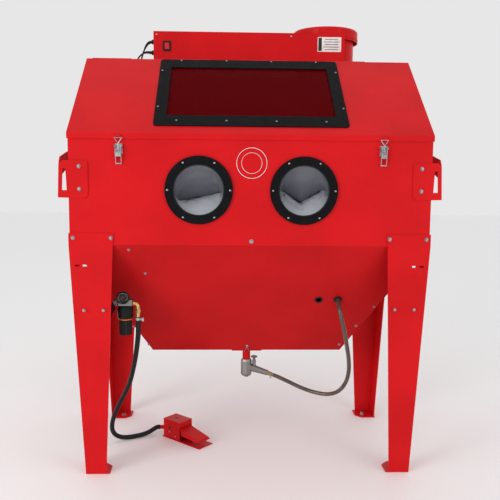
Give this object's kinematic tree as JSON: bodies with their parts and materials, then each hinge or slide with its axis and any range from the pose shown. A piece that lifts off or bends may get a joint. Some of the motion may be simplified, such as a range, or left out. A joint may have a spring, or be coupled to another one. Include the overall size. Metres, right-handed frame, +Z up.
{
  "type": "sandblast cabinet",
  "caption": "Free-standing red blast cabinet: sloping window lid, glove ports, hopper on tapered legs, dust collector, air regulator, foot pedal, media valve and hoses.",
  "frame": {"origin": "on the floor, at the centre of the whole object's bounding box", "axes": "+Z up, +X to the operator's right, +Y from the operator towards the back"},
  "size_m": [1.216, 0.9406, 1.602],
  "materials": {
    "powder_red": "gloss powder coat with a fine orange peel",
    "hopper_red": "the same powder coat, a little darker",
    "satin_black": "satin black paint",
    "black_plastic": "fine-grained moulding",
    "galvanised": "bright zinc plate",
    "zinc_cast": "bare grey casting",
    "glass": "clear flat glass",
    "rubber_black": "matt rubber",
    "glove_rubber": "smooth grey-blue rubber, creased",
    "hose_clear": "brownish translucent vinyl",
    "lead_black": "smooth cable sheath",
    "filter_paper": "pleated paper",
    "lamp_white": "white lamp cover",
    "red_plastic": "gloss red moulding"
  },
  "bodies": {
    "cabinet": {"front_panel": "powder_red", "side_panel_right": "powder_red", "side_panel_left": "powder_red", "back_panel": "powder_red", "roof_panel": "powder_red", "hinge_pin": "galvanised", "lid_seal": "rubber_black", "work_grate": "galvanised", "hopper_front": "hopper_red", "hopper_back": "hopper_red", "hopper_right": "hopper_red", "hopper_left": "hopper_red", "hopper_floor": "hopper_red", "media_grommet": "rubber_black", "leg_front_right": "powder_red", "leg_front_left": "powder_red", "leg_back_right": "powder_red", "leg_back_left": "powder_red", "side_handle_right": "powder_red", "side_handle_left": "powder_red", "port_ring_left": "satin_black", "port_ring_right": "satin_black", "glove_left": "glove_rubber", "glove_right": "glove_rubber", "latch_base_left": "galvanised", "latch_base_right": "galvanised", "collector_box": "powder_red", "filter_drum": "powder_red", "filter_cartridge": "filter_paper", "fan_motor": "satin_black", "switch_bezel": "black_plastic", "gland_mains": "black_plastic", "work_lamp": "lamp_white", "blast_gun": "zinc_cast", "regulator_bracket": "satin_black", "regulator_body": "zinc_cast", "pressure_gauge": "black_plastic", "air_hose": "rubber_black", "pedal_housing": "powder_red", "metering_valve": "zinc_cast", "media_hose": "hose_clear", "mains_lead": "lead_black", "mains_coil": "lead_black", "mains_plug": "black_plastic", "lamp_lead": "lead_black"},
    "lid": {"lid_panel": "powder_red", "window_frame": "satin_black", "window_pane": "glass"},
    "prop": {"lid_prop": "galvanised"},
    "lever_left": {"latch_lever_left": "galvanised"},
    "bail_left": {"latch_bail_left": "galvanised"},
    "lever_right": {"latch_lever_right": "galvanised"},
    "bail_right": {"latch_bail_right": "galvanised"},
    "switch_rocker": {"rocker": "red_plastic"},
    "pressure_knob": {"regulator_knob": "black_plastic"},
    "needle": {"gauge_needle": "red_plastic"},
    "air_screw": {"metering_cap": "zinc_cast"},
    "treadle": {"pedal_treadle": "powder_red"},
    "fan": {"fan_wheel": "black_plastic"},
    "cap": {"drum_cap": "powder_red"}
  },
  "joints": [
    {"name": "lid_hinge", "type": "hinge", "parent": "cabinet", "child": "lid", "pos_m": [0, -0.10832, 1.40556], "axis": [-1, 0, 0], "range_deg": [0, 80]},
    {"name": "prop_pivot", "type": "hinge", "parent": "lid", "child": "prop", "pos_m": [0.548, -0.40335, 1.15184], "axis": [-1, 0, 0], "range_deg": [0, 70]},
    {"name": "lever_left_turn", "type": "hinge", "parent": "cabinet", "child": "lever_left", "pos_m": [-0.417, -0.46725, 1.086], "axis": [-1, 0, 0], "range_deg": [0, 110]},
    {"name": "bail_left_turn", "type": "hinge", "parent": "lever_left", "child": "bail_left", "pos_m": [-0.417, -0.46725, 1.076], "axis": [-1, 0, 0], "range_deg": [-110, 0]},
    {"name": "lever_right_turn", "type": "hinge", "parent": "cabinet", "child": "lever_right", "pos_m": [0.417, -0.46725, 1.086], "axis": [-1, 0, 0], "range_deg": [0, 110]},
    {"name": "bail_right_turn", "type": "hinge", "parent": "lever_right", "child": "bail_right", "pos_m": [0.417, -0.46725, 1.076], "axis": [-1, 0, 0], "range_deg": [-110, 0]},
    {"name": "rocker_turn", "type": "hinge", "parent": "cabinet", "child": "switch_rocker", "pos_m": [-0.319, 0.19475, 1.512], "axis": [-1, 0, 0], "range_deg": [0, 8]},
    {"name": "knob_turn", "type": "hinge", "parent": "cabinet", "child": "pressure_knob", "pos_m": [-0.411, -0.39725, 0.5], "axis": [0, 0, 1], "range_deg": [0, 720]},
    {"name": "needle_turn", "type": "hinge", "parent": "cabinet", "child": "needle", "pos_m": [-0.414, -0.43165, 0.6018], "axis": [0, 0.8, -0.6], "range_deg": [0, 270]},
    {"name": "air_screw_turn", "type": "hinge", "parent": "cabinet", "child": "air_screw", "pos_m": [0.029, -0.13225, 0.315], "axis": [0, 0, 1], "range_deg": [0, 360]},
    {"name": "treadle_press", "type": "hinge", "parent": "cabinet", "child": "treadle", "pos_m": [-0.2335, -0.13185, 0.042], "axis": [0.6691, 0.7431, 0], "range_deg": [0, 8], "stiffness_Nm_per_rad": 2, "springref_deg": -17.19},
    {"name": "fan_spin", "type": "hinge", "parent": "cabinet", "child": "fan", "pos_m": [-0.06, 0.32075, 1.41], "axis": [0, 0, 1], "continuous": true},
    {"name": "cap_lift", "type": "slide", "parent": "cabinet", "child": "cap", "axis": [0, 0, 1], "range_m": [0, 0.07]}
  ],
  "couplings": [
    {"joint": "bail_left_turn", "follows": "lever_left_turn", "ratio": -1},
    {"joint": "bail_right_turn", "follows": "lever_right_turn", "ratio": -1}
  ]
}
